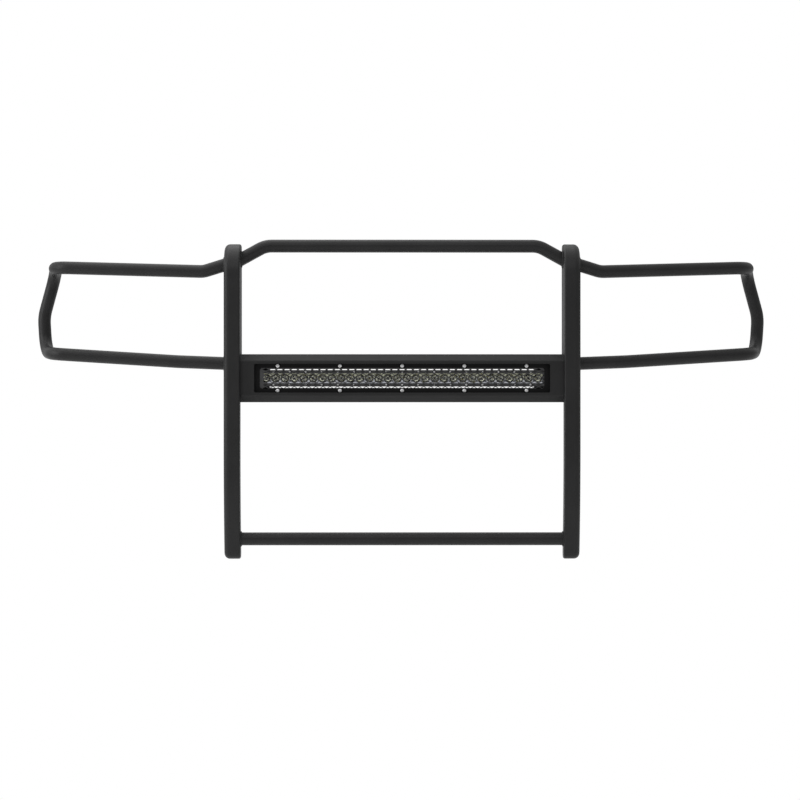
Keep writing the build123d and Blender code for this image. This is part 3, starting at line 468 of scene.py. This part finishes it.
def tab_front_edge(node, face_x):
    """The line along which a bracket tab meets the back of its upright."""
    low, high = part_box(node)
    reach = low.y + (high.y - low.y) * TAB_FRONT_SHARE
    bottom = low.z + TAB_ROUNDING
    top = high.z - TAB_ROUNDING
    edge = [p for p in points_in_plane(node, face_x) if p.y < reach and bottom < p.z < top]
    edge.sort(key=lambda p: p.z)
    neighbours = zip(edge, edge[:1] + edge)
    return [p for p, before in neighbours if p is edge[0] or p.z - before.z > REPEATED]


def tab_welds(material):
    """Beads down both faces of each bracket tab."""
    for side, sign in SIDES.items():
        node = f"{side}_bracket_tab"
        low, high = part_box(node)
        for face, face_x, away in (("inner", low.x, -1), ("outer", high.x, 1)):
            edge = tab_front_edge(node, face_x)
            if len(edge) < 2:
                continue
            lift = Vector((away * TAB_LIFT, TAB_LIFT, 0))
            vertices, faces = bead_mesh([p + lift for p in edge], closed=False)
            name = f"{side}_tab_weld_{face}"
            mesh_piece(name, vertices, faces, material, "guard")


# --------------------------------------------------------------------- lamps


def emitter_centres():
    """Middle of the front face of each lamp's chip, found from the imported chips."""
    low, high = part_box("led_emitters")
    half_chip = (high.z - low.z) / 2
    rows = sorted(v.co.x for v in frame["nodes"]["led_emitters"].data.vertices)
    centres = []
    for x in rows:
        if not centres or x - centres[-1] > 3 * half_chip:
            centres.append(x + half_chip)
    return [Vector((x, low.y, (low.z + high.z) / 2)) for x in centres]


def lamp_domes():
    """Clear domes over the chips, as one piece."""
    material = silicone_dome("silicone_dome_look")
    vertices = []
    faces = []
    for centre in emitter_centres():
        start = len(vertices)
        for ring in range(DOME_RINGS):
            lean = pi / 2 * ring / DOME_RINGS
            for segment in range(DOME_SEGMENTS):
                turn = tau * segment / DOME_SEGMENTS
                radius = DOME_RADIUS * cos(lean)
                offset = Vector((radius * cos(turn), -DOME_HEIGHT * sin(lean), radius * sin(turn)))
                vertices.append(centre + offset)
        vertices.append(centre + Vector((0, -DOME_HEIGHT, 0)))
        top = len(vertices) - 1
        for ring in range(DOME_RINGS - 1):
            for segment in range(DOME_SEGMENTS):
                turn = (segment + 1) % DOME_SEGMENTS
                here = start + ring * DOME_SEGMENTS
                there = here + DOME_SEGMENTS
                faces.append((here + segment, here + turn, there + turn, there + segment))
        last = start + (DOME_RINGS - 1) * DOME_SEGMENTS
        for segment in range(DOME_SEGMENTS):
            faces.append((last + segment, last + (segment + 1) % DOME_SEGMENTS, top))
        faces.append(tuple(start + segment for segment in reversed(range(DOME_SEGMENTS))))
    mesh_piece("lamp_domes", vertices, faces, material, "light_bar")


# -------------------------------------------------------------------- studio


def floor():
    """Floor that fills any view: plain white to the camera, pale grey in the light it sends up."""
    size = FLOOR_HALF_SIZE
    depth = -GROUND_CLEARANCE
    corners = [(-size, -size, depth), (size, -size, depth), (size, size, depth), (-size, size, depth)]
    mesh = bpy.data.meshes.new("floor")
    mesh.from_pydata(corners, [], [(0, 1, 2, 3)])
    piece = bpy.data.objects.new("floor", mesh)
    bpy.context.scene.collection.objects.link(piece)
    material, tree, shader = shader_material("floor_look")
    tone = noise(tree, object_place(tree), 3.0, 2.0)
    tree.links.new(two_tones(tree, tone, (0.9, 0.9, 0.9), (0.92, 0.92, 0.92)), shader.inputs["Base Color"])
    shader.inputs["Roughness"].default_value = 0.9
    shader.inputs["Specular IOR Level"].default_value = 0.0
    white = add(tree, "ShaderNodeEmission", Color=(1, 1, 1, 1), Strength=1.0)
    output = tree.nodes["Material Output"]
    show_white(tree, shader.outputs[0], white.outputs[0], output.inputs["Surface"])
    mesh.materials.append(material)


def show_white(tree, unseen, white, surface):
    """Show the camera one shader and everything else another."""
    path = add(tree, "ShaderNodeLightPath")
    mix = add(tree, "ShaderNodeMixShader")
    tree.links.new(path.outputs["Is Camera Ray"], mix.inputs[0])
    tree.links.new(unseen, mix.inputs[1])
    tree.links.new(white, mix.inputs[2])
    tree.links.new(mix.outputs[0], surface)


def ramp_along(tree, axis_value, start, end, amount):
    """Brightness that rises from start to end along one direction of the sky."""
    node = add(tree, "ShaderNodeMapRange", interpolation_type="SMOOTHSTEP")
    node.inputs["From Min"].default_value = start
    node.inputs["From Max"].default_value = end
    node.inputs["To Min"].default_value = 0.0
    node.inputs["To Max"].default_value = amount
    tree.links.new(axis_value, node.inputs["Value"])
    return node.outputs["Result"]


def total(tree, values):
    """Add up node values."""
    result = values[0]
    for value in values[1:]:
        node = add(tree, "ShaderNodeMath", operation="ADD")
        tree.links.new(result, node.inputs[0])
        tree.links.new(value, node.inputs[1])
        result = node.outputs[0]
    return result


def studio_sky():
    """White to the camera. Its light is dim in front, and brighter above, behind and to the left."""
    world = bpy.data.worlds.new("studio")
    bpy.context.scene.world = world
    world.use_nodes = True
    tree = world.node_tree
    tree.nodes.clear()
    place = add(tree, "ShaderNodeTexCoord")
    direction = add(tree, "ShaderNodeSeparateXYZ")
    tree.links.new(place.outputs["Generated"], direction.inputs[0])
    base = add(tree, "ShaderNodeValue")
    base.outputs[0].default_value = SKY_BASE
    ramps = [ramp_along(tree, direction.outputs[axis], *values) for axis, *values in SKY_RAMPS]
    light = total(tree, [base.outputs[0], *ramps])
    unseen = add(tree, "ShaderNodeBackground")
    tree.links.new(light, unseen.inputs["Strength"])
    white = add(tree, "ShaderNodeBackground", Strength=1.0)
    white.inputs["Color"].default_value = (1, 1, 1, 1)
    output = add(tree, "ShaderNodeOutputWorld")
    show_white(tree, unseen.outputs[0], white.outputs[0], output.inputs["Surface"])


def softbox(name, place, size, power):
    """Large soft light aimed at the middle of the guard."""
    light = bpy.data.lights.new(name, "AREA")
    light.shape = "RECTANGLE"
    light.size, light.size_y = size
    light.energy = power
    lamp = bpy.data.objects.new(name, light)
    bpy.context.scene.collection.objects.link(lamp)
    lamp.location = place
    aim = Vector((0, 0, CAMERA_HEIGHT)) - Vector(place)
    lamp.rotation_euler = aim.to_track_quat("-Z", "Y").to_euler()
    lamp.visible_camera = False


def camera():
    """Level camera in front of the guard, with its field set at the uprights' front faces."""
    low, _ = CAD_BOX
    data = bpy.data.cameras.new("camera")
    data.sensor_width = SENSOR_WIDTH
    data.lens = SENSOR_WIDTH * CAMERA_DISTANCE / FIELD_WIDTH
    view = bpy.data.objects.new("camera", data)
    bpy.context.scene.collection.objects.link(view)
    view.location = (CAMERA_SIDE, low.y - CAMERA_DISTANCE, CAMERA_HEIGHT)
    aim = Vector((AIM_SIDE, low.y, CAMERA_HEIGHT)) - view.location
    view.rotation_euler = aim.to_track_quat("-Z", "Y").to_euler()
    bpy.context.scene.camera = view


def studio():
    floor()
    studio_sky()
    for values in SOFTBOXES:
        softbox(*values)
    camera()
    bpy.context.scene.view_settings.view_transform = "Standard"


def main():
    materials = make_materials()
    paint_nodes(materials)
    tube_welds(materials["black_powder_coat"])
    tab_welds(materials["black_powder_coat"])
    lamp_domes()
    studio()


main()
